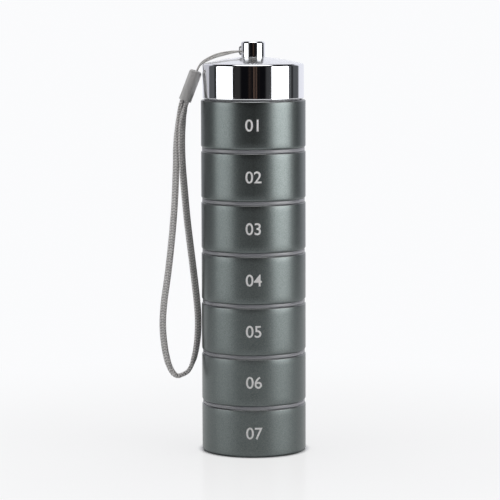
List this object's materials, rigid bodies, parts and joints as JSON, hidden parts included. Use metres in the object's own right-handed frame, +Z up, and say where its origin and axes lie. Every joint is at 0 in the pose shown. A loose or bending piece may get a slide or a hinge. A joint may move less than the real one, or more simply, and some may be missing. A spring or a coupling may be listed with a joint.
{
  "type": "weekly pill box",
  "caption": "Tower of screw-together metal pill cups with a seal ring at each joint, a domed chrome cap with a knob, and a braided wrist lanyard.",
  "frame": {"origin": "centre of the bottom rim of the lowest cup", "axes": "+Z up the tower's axis, -X towards the lanyard, -Y towards the viewer's side, where the day numbers are"},
  "size_m": [0.0533, 0.038, 0.1494],
  "materials": {
    "cup_anodised": "satin anodised, dark green grey",
    "seal_silicone": "matt, light grey",
    "cap_chrome": "mirror plated",
    "knob_chrome": "mirror plated",
    "screw_steel": "bright zinc",
    "bail_steel": "drawn wire",
    "bead_plastic": "moulded, light grey",
    "cord_braid": "fine braid",
    "strap_braid": "woven braid, grey"
  },
  "bodies": {
    "day7": {"cup_day7": "cup_anodised"},
    "day6_seal": {"seal_under_day6": "seal_silicone"},
    "day6": {"cup_day6": "cup_anodised"},
    "day5_seal": {"seal_under_day5": "seal_silicone"},
    "day5": {"cup_day5": "cup_anodised"},
    "day4_seal": {"seal_under_day4": "seal_silicone"},
    "day4": {"cup_day4": "cup_anodised"},
    "day3_seal": {"seal_under_day3": "seal_silicone"},
    "day3": {"cup_day3": "cup_anodised"},
    "day2_seal": {"seal_under_day2": "seal_silicone"},
    "day2": {"cup_day2": "cup_anodised"},
    "day1_seal": {"seal_under_day1": "seal_silicone"},
    "day1": {"cup_day1": "cup_anodised"},
    "cap_seal": {"seal_under_cap": "seal_silicone"},
    "cap": {"cap_shell": "cap_chrome", "knob": "knob_chrome", "knob_screw": "screw_steel", "bail": "bail_steel", "lanyard_cord": "cord_braid", "lanyard_bead": "bead_plastic", "lanyard_strap": "strap_braid"}
  },
  "joints": [
    {"name": "day6_turn", "type": "hinge", "parent": "day7", "child": "day6_seal", "pos_m": [0, 0, 0.0173], "axis": [0, 0, 1], "range_deg": [0, 810]},
    {"name": "day6_lift", "type": "slide", "parent": "day6_seal", "child": "day6", "axis": [0, 0, 1], "range_m": [0, 0.0045]},
    {"name": "day5_turn", "type": "hinge", "parent": "day6", "child": "day5_seal", "pos_m": [0, 0, 0.0358], "axis": [0, 0, 1], "range_deg": [0, 810]},
    {"name": "day5_lift", "type": "slide", "parent": "day5_seal", "child": "day5", "axis": [0, 0, 1], "range_m": [0, 0.0045]},
    {"name": "day4_turn", "type": "hinge", "parent": "day5", "child": "day4_seal", "pos_m": [0, 0, 0.0543], "axis": [0, 0, 1], "range_deg": [0, 810]},
    {"name": "day4_lift", "type": "slide", "parent": "day4_seal", "child": "day4", "axis": [0, 0, 1], "range_m": [0, 0.0045]},
    {"name": "day3_turn", "type": "hinge", "parent": "day4", "child": "day3_seal", "pos_m": [0, 0, 0.0728], "axis": [0, 0, 1], "range_deg": [0, 810]},
    {"name": "day3_lift", "type": "slide", "parent": "day3_seal", "child": "day3", "axis": [0, 0, 1], "range_m": [0, 0.0045]},
    {"name": "day2_turn", "type": "hinge", "parent": "day3", "child": "day2_seal", "pos_m": [0, 0, 0.0913], "axis": [0, 0, 1], "range_deg": [0, 810]},
    {"name": "day2_lift", "type": "slide", "parent": "day2_seal", "child": "day2", "axis": [0, 0, 1], "range_m": [0, 0.0045]},
    {"name": "day1_turn", "type": "hinge", "parent": "day2", "child": "day1_seal", "pos_m": [0, 0, 0.1098], "axis": [0, 0, 1], "range_deg": [0, 810]},
    {"name": "day1_lift", "type": "slide", "parent": "day1_seal", "child": "day1", "axis": [0, 0, 1], "range_m": [0, 0.0045]},
    {"name": "cap_turn", "type": "hinge", "parent": "day1", "child": "cap_seal", "pos_m": [0, 0, 0.1283], "axis": [0, 0, 1], "range_deg": [0, 810]},
    {"name": "cap_lift", "type": "slide", "parent": "cap_seal", "child": "cap", "axis": [0, 0, 1], "range_m": [0, 0.0045]}
  ],
  "couplings": [
    {"joint": "day6_lift", "follows": "day6_turn", "m_per_rad": 0.0003183},
    {"joint": "day5_lift", "follows": "day5_turn", "m_per_rad": 0.0003183},
    {"joint": "day4_lift", "follows": "day4_turn", "m_per_rad": 0.0003183},
    {"joint": "day3_lift", "follows": "day3_turn", "m_per_rad": 0.0003183},
    {"joint": "day2_lift", "follows": "day2_turn", "m_per_rad": 0.0003183},
    {"joint": "day1_lift", "follows": "day1_turn", "m_per_rad": 0.0003183},
    {"joint": "cap_lift", "follows": "cap_turn", "m_per_rad": 0.0003183}
  ]
}
